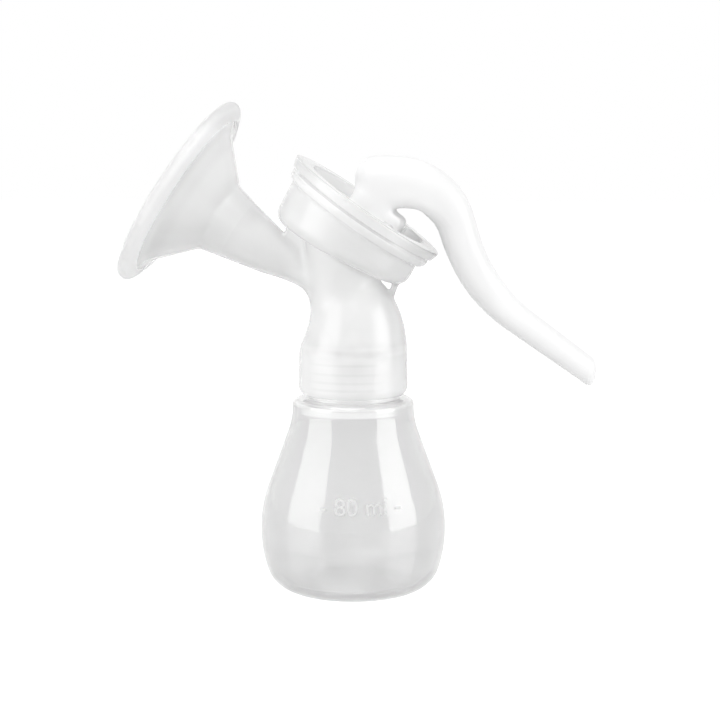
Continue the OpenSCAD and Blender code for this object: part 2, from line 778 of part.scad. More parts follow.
// Handle: a swept arm with hollows and ribs below, and a hollow foot in the cap
module handle() {
    color("White") difference() {
        union() {
            loft([for (s = handle_stops)
                ring_at(handle_ring(s), handle_at(s), end_scale(s))]);
            on_cap() translate([0, 0, -foot_drop])
                rounded_slab(-foot_back, foot_front_u, foot_w, foot_drop + foot_rise, foot_round);
        }
        for (i = [0 : pockets - 1]) {
            from = pocket_from + i * pocket_step;
            loft([for (s = concat([from], steps(from, from + pocket_step - rib_t, pocket_rings)))
                ring_at(pocket_half(handle_w(s), handle_t(s), low_r(s)), handle_at(s))]);
        }
        head_room = foot_drop + head_hollow + cut;
        heel_room = foot_drop + foot_rise - handle_wall + cut;
        on_cap() translate([0, 0, -foot_drop - cut]) {
            rounded_slab(handle_wall - foot_back, heel_split, inner_w, head_room, inner_round);
            rounded_slab(0, foot_front_u - handle_wall, inner_w, heel_room, inner_round);
        }
        cross_bar(hinge_u, -hinge_drop, hinge_pin_r + pin_fit, foot_w);
        cross_bar(link_u, link_a, link_pin_r + pin_fit, foot_w);
    }
}

module hinge_pin() {
    color("White") cross_bar(hinge_u, -hinge_drop, hinge_pin_r, hinge_pin_half);
}

module link_pin() {
    color("White") cross_bar(link_u, link_a, link_pin_r, foot_w / 2 - cheek_play);
}

bottle();
bottle_seal();
pump_body();
funnel_liner();
duckbill_valve();
diaphragm();
pull_stem();
cap_ring();
handle();
hinge_pin();
link_pin();
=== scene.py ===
# %% [markdown]
# A hand-operated breast pump on its milk bottle, dressed for a studio picture.
# The solids come ready packed, in metres, standing on the floor with +Z up. This lesson gives each of them
# the surface that a moulded or soft piece has, lights it like a product picture, and sets the camera.

# %% Load the solids
import json
from math import atan2, cos, pi, radians, sin, sqrt, tan

import bpy
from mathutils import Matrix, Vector

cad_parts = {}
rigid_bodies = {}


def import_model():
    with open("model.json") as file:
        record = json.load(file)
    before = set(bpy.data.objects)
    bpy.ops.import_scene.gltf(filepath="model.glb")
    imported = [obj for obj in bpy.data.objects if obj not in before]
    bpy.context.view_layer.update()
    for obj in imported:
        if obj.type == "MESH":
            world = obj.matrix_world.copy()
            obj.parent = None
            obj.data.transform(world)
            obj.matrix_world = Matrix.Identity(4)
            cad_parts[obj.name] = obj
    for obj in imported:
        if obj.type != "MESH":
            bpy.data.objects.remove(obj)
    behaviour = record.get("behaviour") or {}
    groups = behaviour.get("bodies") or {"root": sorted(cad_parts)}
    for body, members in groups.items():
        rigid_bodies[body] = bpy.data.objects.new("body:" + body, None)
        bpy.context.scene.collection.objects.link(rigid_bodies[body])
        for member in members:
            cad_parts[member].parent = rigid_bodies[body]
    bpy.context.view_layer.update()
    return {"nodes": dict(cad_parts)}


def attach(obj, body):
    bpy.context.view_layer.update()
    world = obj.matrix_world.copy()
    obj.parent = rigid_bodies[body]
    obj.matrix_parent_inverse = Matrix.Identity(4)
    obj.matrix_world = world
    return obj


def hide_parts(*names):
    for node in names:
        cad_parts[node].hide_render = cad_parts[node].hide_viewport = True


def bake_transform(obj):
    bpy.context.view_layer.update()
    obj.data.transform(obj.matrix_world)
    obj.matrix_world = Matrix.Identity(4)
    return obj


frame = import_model()
scene = bpy.context.scene
scene.view_settings.view_transform = "Standard"
print("solids:", sorted(frame["nodes"]))

# %% [markdown]
# The camera stands a little to the handle's side, 165 mm above the floor and 0.6 m away, with a short telephoto
# lens. Its place was found by laying the solids' outline over the picture. The part's lengths below are in
# millimetres, and MM turns them into Blender's metres.

# %% Camera
MM = 0.001
CAMERA_AWAY, CAMERA_SIDE, CAMERA_UP = 600, radians(7), 165
LENS, SENSOR, NEAREST = 82.04, 36, 0.01
aim = Vector((2.535, 0.0, 85.32)) * MM
eye = Vector((CAMERA_AWAY * sin(CAMERA_SIDE), -CAMERA_AWAY * cos(CAMERA_SIDE), CAMERA_UP)) * MM
bpy.ops.object.camera_add(location=eye)
camera = bpy.context.object
camera.rotation_euler = (aim - eye).to_track_quat("-Z", "Y").to_euler()
camera.data.lens = LENS
camera.data.sensor_width = SENSOR
camera.data.clip_start = NEAREST
scene.camera = camera
print("camera at", [round(c, 4) for c in eye])

# %% [markdown]
# Everything here is white or grey, so one number is enough for a colour. Two more helpers keep the node trees
# short: one adds a Math node, the other tells direct looks from the rays that only carry soft light.

# %% Node helpers


def grey(tone):
    """A neutral colour."""
    return tone, tone, tone, 1


def calc(nodes, links, operation, *terms):
    """A Math node; each term is a socket to link or a number to set."""
    made = nodes.new("ShaderNodeMath")
    made.operation = operation
    for place, term in zip(made.inputs, terms):
        if isinstance(term, bpy.types.NodeSocket):
            links.new(term, place)
        else:
            place.default_value = term
    return made.outputs[0]


def seen_directly(nodes, links):
    """1 for camera, mirror and see-through rays, 0 for the rays that carry soft light."""
    path = nodes.new("ShaderNodeLightPath").outputs
    pair = calc(nodes, links, "MAXIMUM", path["Is Camera Ray"], path["Is Glossy Ray"])
    return calc(nodes, links, "MAXIMUM", pair, path["Is Transmission Ray"])


# %% [markdown]
# The backdrop is plain white. Camera, mirror and see-through rays find a white of strength 1, while the soft
# fill that falls on the object is weaker, so a pale piece keeps its own tone in front of it.

# %% Backdrop and fill
FILL = 0.4
world = bpy.data.worlds.new("studio")
scene.world = world
world.use_nodes = True
nodes, links = world.node_tree.nodes, world.node_tree.links
nodes.clear()
white = nodes.new("ShaderNodeBackground")
white.inputs["Color"].default_value = grey(1)
fill = nodes.new("ShaderNodeBackground")
fill.inputs["Color"].default_value = grey(1)
fill.inputs["Strength"].default_value = FILL
choose = nodes.new("ShaderNodeMixShader")
links.new(seen_directly(nodes, links), choose.inputs[0])
links.new(fill.outputs[0], choose.inputs[1])
links.new(white.outputs[0], choose.inputs[2])
out = nodes.new("ShaderNodeOutputWorld")
links.new(choose.outputs[0], out.inputs[0])
print("fill:", FILL)

# %% [markdown]
# The floor is a wide pale sheet. Its own glow towards the camera makes it white, and a share of plain matt
# surface under the glow still takes the soft shadow of the bottle's foot. Seen in the bottle's side, it has
# a little polish, so each band of light goes on below as a fainter one. Soft light finds a plain pale sheet.

# %% Floor
FLOOR_SIZE, MATT, GLOW, BOUNCE = 8, 0.3, 0.9, 0.9
POLISH_ROUGH, POLISH_SHARE = 0.12, 0.45
bpy.ops.object.select_all(action="DESELECT")
bpy.ops.mesh.primitive_plane_add(size=FLOOR_SIZE)
floor = bpy.context.object
floor.name = "floor"
paper = bpy.data.materials.new("white_paper")
paper.use_nodes = True
nodes, links = paper.node_tree.nodes, paper.node_tree.links
nodes.clear()
matt = nodes.new("ShaderNodeBsdfDiffuse")
matt.inputs["Color"].default_value = grey(MATT)
glow = nodes.new("ShaderNodeEmission")
glow.inputs["Strength"].default_value = GLOW
lit = nodes.new("ShaderNodeAddShader")
links.new(matt.outputs[0], lit.inputs[0])
links.new(glow.outputs[0], lit.inputs[1])
polish = nodes.new("ShaderNodeBsdfGlossy")
polish.inputs["Roughness"].default_value = POLISH_ROUGH
path = nodes.new("ShaderNodeLightPath").outputs
mirrored = nodes.new("ShaderNodeMixShader")
links.new(calc(nodes, links, "MULTIPLY", path["Is Glossy Ray"], POLISH_SHARE), mirrored.inputs[0])
links.new(lit.outputs[0], mirrored.inputs[1])
links.new(polish.outputs[0], mirrored.inputs[2])
bare = nodes.new("ShaderNodeBsdfDiffuse")
bare.inputs["Color"].default_value = grey(BOUNCE)
choose = nodes.new("ShaderNodeMixShader")
links.new(seen_directly(nodes, links), choose.inputs[0])
links.new(bare.outputs[0], choose.inputs[1])
links.new(mirrored.outputs[0], choose.inputs[2])
out = nodes.new("ShaderNodeOutputMaterial")
links.new(choose.outputs[0], out.inputs[0])
floor.data.materials.append(paper)
print("floor:", FLOOR_SIZE, "m wide")

# %% [markdown]
# Two large soft boxes stand in front, left and right. They draw the two upright bands of light that run down
# the bottle. A third, above, lights the top of the handle and the cap.

# %% Soft boxes
LAMP_AIM = Vector((0, 0, 0.09))


def soft_box(name, azimuth, distance, height, wide, tall, power):
    """An area lamp that faces the bottle, in metres; azimuth 0 is in front, positive towards the handle."""
    turn = radians(azimuth)
    place = Vector((distance * sin(turn), -distance * cos(turn), height))
    bpy.ops.object.light_add(type="AREA", location=place)
    lamp = bpy.context.object
    lamp.name = name
    lamp.data.shape = "RECTANGLE"
    lamp.data.size = wide
    lamp.data.size_y = tall
    lamp.data.energy = power
    lamp.rotation_euler = (LAMP_AIM - place).to_track_quat("-Z", "Y").to_euler()
    print(name, power, "W")


soft_box("left_box", azimuth=-58, distance=1.2, height=0.36, wide=1.1, tall=1.18, power=6.6)
soft_box("right_box", azimuth=72, distance=1.2, height=0.36, wide=0.9, tall=1.18, power=7.4)
soft_box("top_box", azimuth=-20, distance=0.5, height=1.3, wide=1.0, tall=1.0, power=7.2)

# %% [markdown]
# Every moulded surface is a little uneven. One node group holds that: slow clouds from the melt's flow, a
# fine grain from the tool, and the faint line where the two halves of the mould met, in the plane of symmetry.
# It reads Object coordinates, so the marks stay with the piece when it moves.

# %% Moulding marks group
FLOW_SCALE, GRAIN_SCALE, SEAM_WIDTH = 45, 900, 0.00015
CLOUD_LOW, CLOUD_HIGH = 0.15, 0.85
marks = bpy.data.node_groups.new("moulding_marks", "ShaderNodeTree")
for name, value in (("Flow Scale", FLOW_SCALE), ("Grain Scale", GRAIN_SCALE), ("Seam Width", SEAM_WIDTH)):
    socket = marks.interface.new_socket(name, in_out="INPUT", socket_type="NodeSocketFloat")
    socket.default_value = value
for name in ("Cloud", "Grain", "Seam"):
    marks.interface.new_socket(name, in_out="OUTPUT", socket_type="NodeSocketFloat")
nodes, links = marks.nodes, marks.links
given = nodes.new("NodeGroupInput")
put = nodes.new("NodeGroupOutput")
place = nodes.new("ShaderNodeTexCoord").outputs["Object"]
flow = nodes.new("ShaderNodeTexNoise")
flow.inputs["Detail"].default_value = 0.5
links.new(place, flow.inputs["Vector"])
links.new(given.outputs["Flow Scale"], flow.inputs["Scale"])
spread = nodes.new("ShaderNodeMapRange")
spread.interpolation_type = "SMOOTHERSTEP"
spread.inputs["From Min"].default_value = CLOUD_LOW
spread.inputs["From Max"].default_value = CLOUD_HIGH
links.new(flow.outputs[0], spread.inputs["Value"])
links.new(spread.outputs[0], put.inputs["Cloud"])
fine = nodes.new("ShaderNodeTexNoise")
fine.inputs["Detail"].default_value = 2
links.new(place, fine.inputs["Vector"])
links.new(given.outputs["Grain Scale"], fine.inputs["Scale"])
links.new(fine.outputs[0], put.inputs["Grain"])
apart = nodes.new("ShaderNodeSeparateXYZ")
links.new(place, apart.inputs[0])
seam = nodes.new("ShaderNodeMapRange")
seam.inputs["To Min"].default_value = 1
seam.inputs["To Max"].default_value = 0
links.new(calc(nodes, links, "ABSOLUTE", apart.outputs["Y"]), seam.inputs["Value"])
links.new(given.outputs["Seam Width"], seam.inputs["From Max"])
links.new(seam.outputs[0], put.inputs["Seam"])
print("group:", marks.name)

# %% [markdown]
# A second group finds a level band: how far a place lies along a direction, and whether that is within the
# band. Between the inner and the outer half width the mask fades out.

# %% Level band group
level_band = bpy.data.node_groups.new("level_band", "ShaderNodeTree")
level_band.interface.new_socket("Direction", in_out="INPUT", socket_type="NodeSocketVector")
for name in ("Middle", "Inner", "Outer"):
    level_band.interface.new_socket(name, in_out="INPUT", socket_type="NodeSocketFloat")
level_band.interface.new_socket("Mask", in_out="OUTPUT", socket_type="NodeSocketFloat")
nodes, links = level_band.nodes, level_band.links
given = nodes.new("NodeGroupInput")
put = nodes.new("NodeGroupOutput")
along = nodes.new("ShaderNodeVectorMath")
along.operation = "DOT_PRODUCT"
links.new(nodes.new("ShaderNodeTexCoord").outputs["Object"], along.inputs[0])
links.new(given.outputs["Direction"], along.inputs[1])
from_middle = calc(nodes, links, "SUBTRACT", along.outputs["Value"], given.outputs["Middle"])
fade = nodes.new("ShaderNodeMapRange")
fade.interpolation_type = "SMOOTHSTEP"
fade.inputs["To Min"].default_value = 1
fade.inputs["To Max"].default_value = 0
links.new(calc(nodes, links, "ABSOLUTE", from_middle), fade.inputs["Value"])
links.new(given.outputs["Inner"], fade.inputs["From Min"])
links.new(given.outputs["Outer"], fade.inputs["From Max"])
links.new(fade.outputs[0], put.inputs["Mask"])
print("group:", level_band.name)

# %% [markdown]
# The finishes share one pattern: two close tones of the plastic, mixed by the clouds, a roughness that the
# clouds move a little, and a very low bump. What differs is how much light goes through.
# Real milky plastic lets soft light in and scatters it. A path tracer would need many bounces for that, and
# the walls would turn dark at their edges. So shadow rays, and rays that have bounced often enough, pass
# straight through with a slight loss.

# %% Finish
ROUGH_SPREAD, SEAM_RISE, BUMP_DEPTH, SCATTER_REACH = 0.15, 0.35, 0.0001, 0.002


def let_through(mat, shade, bounces):
    """Lets shadow rays and often-bounced rays pass through a finish, each time with a slight loss."""
    nodes, links = mat.node_tree.nodes, mat.node_tree.links
    path = nodes.new("ShaderNodeLightPath").outputs
    deep = calc(nodes, links, "GREATER_THAN", path["Ray Depth"], bounces)
    through = nodes.new("ShaderNodeBsdfTransparent")
    through.inputs["Color"].default_value = grey(shade)
    pick = nodes.new("ShaderNodeMixShader")
    links.new(calc(nodes, links, "MAXIMUM", path["Is Shadow Ray"], deep), pick.inputs[0])
    links.new(nodes["Principled BSDF"].outputs[0], pick.inputs[1])
    links.new(through.outputs[0], pick.inputs[2])
    links.new(pick.outputs[0], nodes["Material Output"].inputs["Surface"])


def finish(name, light, dark, rough, bump, see_through=0.0, ior=1.49, coat=0.0, under=0.0,
           shade=0.92, coat_rough=0.06, bounces=3.5):
    """A moulded or soft surface; see_through is its share of transmission, under its share of scatter."""
    mat = bpy.data.materials.new(name)
    mat.use_nodes = True
    nodes, links = mat.node_tree.nodes, mat.node_tree.links
    skin = nodes["Principled BSDF"]
    skin.inputs["IOR"].default_value = ior
    skin.inputs["Transmission Weight"].default_value = see_through
    skin.inputs["Coat Weight"].default_value = coat
    skin.inputs["Coat Roughness"].default_value = coat_rough
    skin.inputs["Subsurface Weight"].default_value = under
    skin.inputs["Subsurface Radius"].default_value = (1.0, 1.0, 1.0)
    skin.inputs["Subsurface Scale"].default_value = SCATTER_REACH
    worn = nodes.new("ShaderNodeGroup")
    worn.node_tree = marks
    tone = nodes.new("ShaderNodeMix")
    tone.data_type = "RGBA"
    tone.inputs["A"].default_value = grey(dark)
    tone.inputs["B"].default_value = grey(light)
    links.new(worn.outputs["Cloud"], tone.inputs["Factor"])
    links.new(tone.outputs["Result"], skin.inputs["Base Color"])
    sheen = nodes.new("ShaderNodeMapRange")
    sheen.inputs["To Min"].default_value = rough * (1 + ROUGH_SPREAD)
    sheen.inputs["To Max"].default_value = rough * (1 - ROUGH_SPREAD)
    links.new(worn.outputs["Cloud"], sheen.inputs["Value"])
    links.new(sheen.outputs[0], skin.inputs["Roughness"])
    press = nodes.new("ShaderNodeBump")
    press.inputs["Strength"].default_value = bump
    press.inputs["Distance"].default_value = BUMP_DEPTH
    raised = calc(nodes, links, "MULTIPLY_ADD", worn.outputs["Seam"], SEAM_RISE, worn.outputs["Grain"])
    links.new(raised, press.inputs["Height"])
    links.new(press.outputs[0], skin.inputs["Normal"])
    if see_through:
        let_through(mat, shade, bounces)
    print("finish:", name)
    return mat


# %% [markdown]
# The bottle is the clearest piece, the body and the cap are milkier, the soft pieces scatter light below
# their surface, and the handle, stem and pins are plain white.

# %% The plastics and the silicone
bottle_plastic = finish("bottle_plastic", light=0.85, dark=0.82, rough=0.16, bump=0.06, see_through=0.78,
                        ior=1.44, coat=0.9, shade=0.86, bounces=4.5)
body_plastic = finish("body_plastic", light=0.93, dark=0.91, rough=0.23, bump=0.08, see_through=0.55,
                      ior=1.44, coat=0.35, shade=0.88, coat_rough=0.12)
cap_plastic = finish("cap_plastic", light=0.985, dark=0.965, rough=0.22, bump=0.06, see_through=0.4,
                     ior=1.45, coat=0.6, shade=0.94)
silicone = finish("silicone", light=0.92, dark=0.9, rough=0.42, bump=0.12, see_through=0.45,
                  ior=1.41, under=0.5, shade=0.95)
mark_plastic = finish("mark_plastic", light=0.76, dark=0.74, rough=0.34, bump=0.06)
white_plastic = finish("white_plastic", light=0.97, dark=0.95, rough=0.34, bump=0.1, ior=1.5, coat=0.15)

# %% [markdown]
# Where plastic lies double, is thick, or turns away from the light, a milky piece looks lighter or darker
# than its plain finish. That light and shade is painted into the colour here. Those places were read from the
# picture. Each is a painted tint inside one band, or where two or three bands cross, and it moves with the
# piece, because the bands read Object coordinates.

# %% Bands of painted light and shade
CAP_LEAN, HORN_RISE = radians(35), radians(33)
UP, SIDEWAYS, DEPTH = (0, 0, 1), (1, 0, 0), (0, 1, 0)
HORN = (-cos(HORN_RISE), 0, sin(HORN_RISE))
HORN_UP = (sin(HORN_RISE), 0, cos(HORN_RISE))
CAP_AXIS = (sin(CAP_LEAN), 0, cos(CAP_LEAN))
CAP_ACROSS = (cos(CAP_LEAN), 0, -sin(CAP_LEAN))


def paint_light_and_shade(mat, tint, factor):
    """Paints light and shade into a finish's colour: multiplies it by a grey, as far as the factor's socket
    says.
    """
    nodes, links = mat.node_tree.nodes, mat.node_tree.links
    colour = nodes["Principled BSDF"].inputs["Base Color"]
    mix = nodes.new("ShaderNodeMix")
    mix.data_type = "RGBA"
    mix.blend_type = "MULTIPLY"
    mix.inputs["B"].default_value = grey(tint)
    links.new(factor, mix.inputs["Factor"])
    links.new(colour.links[0].from_socket, mix.inputs["A"])
    links.new(mix.outputs["Result"], colour)


def painted_light_shade_zone(mat, tint, *bands):
    """Paints light and shade where bands cross; a tint above 1 is painted light, below 1 painted shade; each
    band is a direction, a middle, a half width and a fade.
    """
    nodes, links = mat.node_tree.nodes, mat.node_tree.links
    inside = None
    for direction, middle, half, fade in bands:
        band = nodes.new("ShaderNodeGroup")
        band.node_tree = level_band
        band.inputs["Direction"].default_value = direction
        band.inputs["Middle"].default_value = middle * MM
        band.inputs["Inner"].default_value = half * MM
        band.inputs["Outer"].default_value = (half + fade) * MM
        mask = band.outputs["Mask"]
        inside = calc(nodes, links, "MULTIPLY", inside, mask) if inside else mask
    paint_light_and_shade(mat, tint, inside)


# %% [markdown]
# Painted light makes the bottle lighter at its neck and at its thick heel, and a painted highlight runs along
# the line under its shoulder; painted shade darkens both sides of the belly's foot, where the inner floor turns
# up.

# %% Painted light and shade on the bottle
# painted light, a painted highlight and painted shade on the bottle
painted_light_shade_zone(bottle_plastic, 1.18, (UP, 82, 12, 1.5))
painted_light_shade_zone(bottle_plastic, 1.1, (UP, 2.5, 2, 2.5))
painted_light_shade_zone(bottle_plastic, 1.4, (UP, 67.9, 0.7, 0.6), (SIDEWAYS, 0, 14, 4))
for side in (-20, 20):
    painted_light_shade_zone(bottle_plastic, 0.94, (UP, 11.5, 7, 2), (SIDEWAYS, side, 8, 7))
print("bottle:", len(bottle_plastic.node_tree.nodes), "nodes")

# %% [markdown]
# The body gets painted light and shade in this order: the whole horn darker, the length that the liner doubles
# lighter, the bend from the cone to the rim darker, painted shade over the top of the tube and the cone's
# underside; then painted light on the bowl's flange, painted shade in the slot under the cap and a painted
# shadow of the handle on the bowl's end towards it; then painted light on the skirt, the bend above it and the
# corner beside the brace. Last come the faint level lines of the thread, in painted shade, which the milky
# skirt would not show by itself.

# %% Painted light and shade on the body
CAP_MIDDLE = -77.23
# painted light and shade on the body, painted shadow in the slot and under the handle
painted_light_shade_zone(body_plastic, 0.95, (SIDEWAYS, -60, 34, 6))
painted_light_shade_zone(body_plastic, 1.03, (HORN, 123.3, 15, 0.4))
painted_light_shade_zone(body_plastic, 0.95, (HORN, 128.8, 1.5, 3))
painted_light_shade_zone(body_plastic, 0.93, (HORN, 111, 5, 6), (HORN_UP, 99, 4, 5))
painted_light_shade_zone(body_plastic, 0.96, (UP, 121, 6, 6), (SIDEWAYS, -66, 10, 6))
painted_light_shade_zone(body_plastic, 1.1, (CAP_AXIS, 113.9, 1.3, 0.3), (CAP_ACROSS, CAP_MIDDLE, 34, 1))
painted_light_shade_zone(body_plastic, 0.75, (CAP_AXIS, 115.87, 0.4, 0.15), (CAP_ACROSS, -81.7, 19, 4))
painted_light_shade_zone(body_plastic, 0.9, (CAP_ACROSS, -43, 6, 14), (CAP_AXIS, 108, 10, 2))
painted_light_shade_zone(body_plastic, 1.05, (UP, 78.5, 9.5, 4))
painted_light_shade_zone(body_plastic, 1.1, (UP, 90.1, 0.7, 1.7))
painted_light_shade_zone(body_plastic, 1.05, (UP, 115, 2, 3), (SIDEWAYS, 11, 1.5, 3.5))
for line in (85.6, 82.2, 79.2, 76.5):
    painted_light_shade_zone(body_plastic, 0.94, (UP, line, 0.2, 0.5), (SIDEWAYS, -1, 8, 7))
print("body:", len(body_plastic.node_tree.nodes), "nodes")

# %% [markdown]
# Painted shade darkens the cap ring on its flat top, along the front of its band and at both ends, the right
# end as the handle's shadow, and painted light brightens the far wall of its opening. Painted shade also
# darkens the liner's lip a little at its top end.

# %% Painted light and shade on the cap and the lip
# painted shade on the cap and the lip, painted light on the far wall
painted_light_shade_zone(cap_plastic, 0.82, (CAP_AXIS, 120.3, 0.5, 0.3))
painted_light_shade_zone(cap_plastic, 0.94, (CAP_AXIS, 118.2, 1.2, 0.5), (CAP_ACROSS, -77, 10, 7), (DEPTH, -30, 20, 6))
painted_light_shade_zone(cap_plastic, 0.79, (CAP_ACROSS, -43, 6, 14), (DEPTH, -30, 26, 6))
painted_light_shade_zone(cap_plastic, 0.87, (CAP_ACROSS, -109, 6, 20), (DEPTH, -24, 26, 6))
painted_light_shade_zone(cap_plastic, 1.13, (CAP_AXIS, 117, 2, 0.6), (DEPTH, 20, 14, 5))
painted_light_shade_zone(silicone, 0.92, (UP, 178, 5, 6))
print("cap:", len(cap_plastic.node_tree.nodes), "nodes")

# %% [markdown]
# The stem and the two pins are plain turned and moulded pieces whose solids already look right. They keep
# their meshes and only get the white finish.

# %% Stem and pins
for name in ("pull_stem", "hinge_pin", "link_pin"):
    solid = frame["nodes"][name]
    solid.data.materials.clear()
    solid.data.materials.append(white_plastic)
    print(name, "keeps its solid")

# %% [markdown]
# Every other piece stands for one solid, or adds to it. Each gets its one finish and the body that it rides on.

# %% Piece helpers


def dress(piece, finish_used, slot, body, *stands_for):
    """Gives a piece its finish and body, and hides the solids that it stands for, if any; slot is not used."""
    piece.data.materials.clear()
    piece.data.materials.append(finish_used)
    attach(piece, body)
    if stands_for:
        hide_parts(*stands_for)
    print(piece.name, len(piece.data.polygons), "faces, rides on", body)


def only(piece):
    """Selects one piece and nothing else."""
    bpy.ops.object.select_all(action="DESELECT")
    piece.select_set(True)
    bpy.context.view_layer.objects.active = piece


def settle(piece):
    """Moves a piece's place, turn and scale into its mesh."""
    only(piece)
    bpy.ops.object.transform_apply(location=True, rotation=True, scale=True)


def use(piece, kind, **settings):
    """Adds one modifier with its settings and applies it."""
    only(piece)
    made = piece.modifiers.new(kind.lower(), kind)
    for key, value in settings.items():
        setattr(made, key, value)
    bpy.ops.object.modifier_apply(modifier=made.name)


# %% [markdown]
# The bottle and the washer are turned: a half outline, swept once round an axis. The outline is walked point
# by point with extrude, then spun. Corners get a small arc first, because no moulded edge is sharp.

# %% Turning helpers
SAME_POINT, SPUN_POINT, SMOOTH_ANGLE, EASE_STEPS = 1e-7, 2e-6, radians(50), 5
LONGEST_EASE = 0.45


def arc(cx, cz, r, start, end, n):
    """Points on an arc, angles in degrees."""
    turn = [radians(start + (end - start) * i / n) for i in range(n + 1)]
    return [(cx + r * cos(a), cz + r * sin(a)) for a in turn]


def eased(points, radii):
    """A closed outline with each corner replaced by a curve of about its radius."""
    made = []
    for i, (point, r) in enumerate(zip(points, radii)):
        p = Vector(point)
        before = Vector(points[i - 1]) - p
        after = Vector(points[(i + 1) % len(points)]) - p
        half = before.angle(after) / 2
        back = min(r / tan(half), LONGEST_EASE * min(before.length, after.length))
        a, b = p + before.normalized() * back, p + after.normalized() * back
        for k in range(EASE_STEPS + 1):
            t = k / EASE_STEPS
            made.append(tuple((1 - t) ** 2 * a + 2 * t * (1 - t) * p + t ** 2 * b))
    return made


def turned(name, outline, steps, closed=True):
    """A piece spun about Z from an outline of (radius, height)."""
    bpy.ops.object.select_all(action="DESELECT")
    bpy.ops.mesh.primitive_plane_add(size=MM)
    piece = bpy.context.object
    piece.name = name
    bpy.ops.object.mode_set(mode="EDIT")
    bpy.ops.mesh.merge(type="CENTER")
    walk = list(outline) + ([outline[0]] if closed else [])
    bpy.ops.transform.translate(value=(walk[0][0] * MM, 0, walk[0][1] * MM))
    for (r0, z0), (r1, z1) in zip(walk, walk[1:]):
        step = ((r1 - r0) * MM, 0, (z1 - z0) * MM)
        bpy.ops.mesh.extrude_region_move(TRANSFORM_OT_translate={"value": step})
    bpy.ops.mesh.select_all(action="SELECT")
    bpy.ops.mesh.remove_doubles(threshold=SAME_POINT)
    bpy.ops.mesh.spin(steps=steps, angle=2 * pi, center=(0, 0, 0), axis=(0, 0, 1))
    bpy.ops.mesh.select_all(action="SELECT")
    bpy.ops.mesh.remove_doubles(threshold=SPUN_POINT)
    bpy.ops.mesh.normals_make_consistent(inside=False)
    bpy.ops.object.mode_set(mode="OBJECT")
    bpy.ops.object.shade_smooth_by_angle(angle=SMOOTH_ANGLE)
    return piece


# %% [markdown]
# The bottle is blown in one piece: a rounded heel, a full belly, a straight flank that leans in, a hollow
# waist, a small shoulder and an upright neck. Where the arcs touch follows from their radii.

# %% Bottle's outline
BELLY_R, BELLY_Z, BELLY_CURVE, HEEL = 34.3, 22.5, 48.0, 11.0
LEAN, WAIST, SHOULDER_R, SHOULDER_ROUND, BAND = 20.0, 26.0, 22.4, 2.5, 0.6
NECK_R, NECK_H, WALL = 17.2, 15.0, 1.6
belly_x = BELLY_R - BELLY_CURVE
heel_x = belly_x + sqrt((BELLY_CURVE - HEEL) ** 2 - (BELLY_Z - HEEL) ** 2)
heel_end = atan2(HEEL - BELLY_Z, heel_x - belly_x) * 180 / pi
flank_top = SHOULDER_R + WAIST * (1 - cos(radians(LEAN)))
flank_run = (belly_x + BELLY_CURVE * cos(radians(LEAN)) - flank_top) / sin(radians(LEAN))
waist_z = BELLY_Z + (BELLY_CURVE + WAIST) * sin(radians(LEAN)) + flank_run * cos(radians(LEAN))
shoulder_z = waist_z + BAND + SHOULDER_ROUND
lip_z = shoulder_z + NECK_H
print("shoulder at", round(shoulder_z, 2), "mm, mouth at", round(lip_z, 2), "mm")


def bottle_side(inset):
    """The bottle's side from heel to shoulder, moved inwards by the inset."""
    round_x, round_z = SHOULDER_R - SHOULDER_ROUND, shoulder_z - SHOULDER_ROUND
    return (arc(heel_x, HEEL, HEEL - inset, -90, heel_end, 12)
            + arc(belly_x, BELLY_Z, BELLY_CURVE - inset, heel_end, LEAN, 20)[1:]
            + arc(SHOULDER_R + WAIST, waist_z, WAIST + inset, 180 + LEAN, 180, 12)
            + arc(round_x, round_z, SHOULDER_ROUND - inset, 0, 90, 6))


# %% [markdown]
# Inner and outer side make one outline, so the wall is closed. Below the given height the inner side leaves
# the even wall and runs into a floor that rises at its rim; underneath, the base is hollowed a little.
# The neck's first and last corner only show where its sides come from and go to, so their curves are cut off.

# %% Bottle
EVEN_WALL_FROM, BOTTLE_STEPS = 9, 160
floor_in = [(0, 2.6), (14, 2.6), (22, 2.7), (26, 3.6), (28.2, 4.9), (29.6, 6.2)]
punt = [(0, 0.5), (10, 0.45), (16, 0.25), (19.5, 0.05)]
NECK_ROUNDS, CORNER_POINTS = [0.6, 0.6, 0.5, 0.5, 0.6], EASE_STEPS + 1
neck_corners = [(SHOULDER_R - SHOULDER_ROUND, shoulder_z), (NECK_R, shoulder_z), (NECK_R, lip_z),
                (NECK_R - WALL, lip_z), (NECK_R - WALL, shoulder_z - WALL)]
neck = eased(neck_corners, NECK_ROUNDS)[CORNER_POINTS:-CORNER_POINTS]
wall = [point for point in bottle_side(WALL) if point[1] > EVEN_WALL_FROM]
inner = [(NECK_R - WALL, shoulder_z - WALL)] + wall[::-1] + floor_in[::-1]
bottle = turned("bottle_shell", punt + bottle_side(0) + neck + inner, BOTTLE_STEPS, closed=False)
dress(bottle, bottle_plastic, "bottle_plastic", "bottle", "bottle")

# %% [markdown]
# The neck carries a screw thread. One small round section is stood upright at the neck and the Screw modifier
# winds it up; then its two ends are closed.

